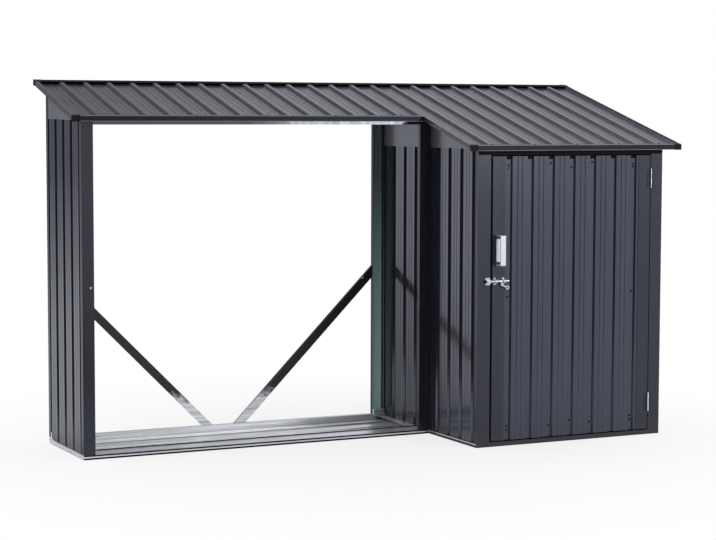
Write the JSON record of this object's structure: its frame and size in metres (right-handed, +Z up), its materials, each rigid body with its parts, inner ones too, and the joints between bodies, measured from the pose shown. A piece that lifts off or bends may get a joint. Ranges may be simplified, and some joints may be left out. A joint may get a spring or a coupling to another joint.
{
  "type": "log store with tool shed",
  "caption": "Ribbed steel log store with an open bay braced at its back and a small lockable tool shed under one stepped lean-to roof",
  "frame": {"origin": "On the ground under the middle of the roof: bottom centre of the whole box.", "axes": "+X along the front to the shed end, +Y from the front to the back, +Z up."},
  "size_m": [2.704, 0.982, 1.59],
  "materials": {
    "dark_steel": "satin anthracite paint",
    "roof_steel": "satin anthracite paint",
    "galvanised_steel": "hot-dip galvanised",
    "bright_steel": "bright zinc plate",
    "dark_plastic": "matt black"
  },
  "bodies": {
    "structure": {"bay_sill_front": "galvanised_steel", "bay_rail_back": "galvanised_steel", "bay_rail_left": "galvanised_steel", "bay_rail_right": "galvanised_steel", "bay_floor": "galvanised_steel", "shed_sill_front": "dark_steel", "shed_base_rails": "dark_steel", "bay_post_front_left": "dark_steel", "bay_post_front_right": "dark_steel", "bay_post_back_left": "dark_steel", "bay_post_back_right": "dark_steel", "shed_post_front_left": "dark_steel", "shed_post_front_right": "dark_steel", "shed_posts_back": "dark_steel", "bay_header_front": "dark_steel", "shed_header_front": "dark_steel", "headers_back": "dark_steel", "bay_wall_left": "dark_steel", "shed_wall_left": "dark_steel", "shed_wall_right": "dark_steel", "shed_wall_back": "dark_steel", "bay_gable_left": "dark_steel", "shed_gable_left": "dark_steel", "shed_gable_right": "dark_steel", "roof_log": "roof_steel", "roof_shed": "roof_steel", "ridge_trim": "roof_steel", "eave_trim_log": "roof_steel", "eave_trim_shed": "roof_steel", "verge_trims": "roof_steel", "corner_caps": "dark_plastic", "brace_left": "galvanised_steel", "brace_right": "galvanised_steel", "hinge_leaves_post": "dark_steel", "hinge_pins": "bright_steel", "bolt_keeper": "bright_steel"},
    "door": {"door_sheet": "dark_steel", "door_stile_latch": "dark_steel", "door_stile_hinge": "dark_steel", "door_rails": "dark_steel", "hinge_leaves_door": "dark_steel", "door_handle": "bright_steel", "door_handle_plate": "bright_steel", "bolt_guides": "bright_steel"},
    "bolt": {"bolt": "bright_steel"}
  },
  "joints": [
    {"name": "door_hinge", "type": "hinge", "parent": "structure", "child": "door", "pos_m": [1.218, -0.4508, 0.66], "axis": [0, 0, 1], "range_deg": [0, 110]},
    {"name": "bolt_slide", "type": "slide", "parent": "door", "child": "bolt", "axis": [-1, 0, 0], "range_m": [0, 0.02]}
  ]
}
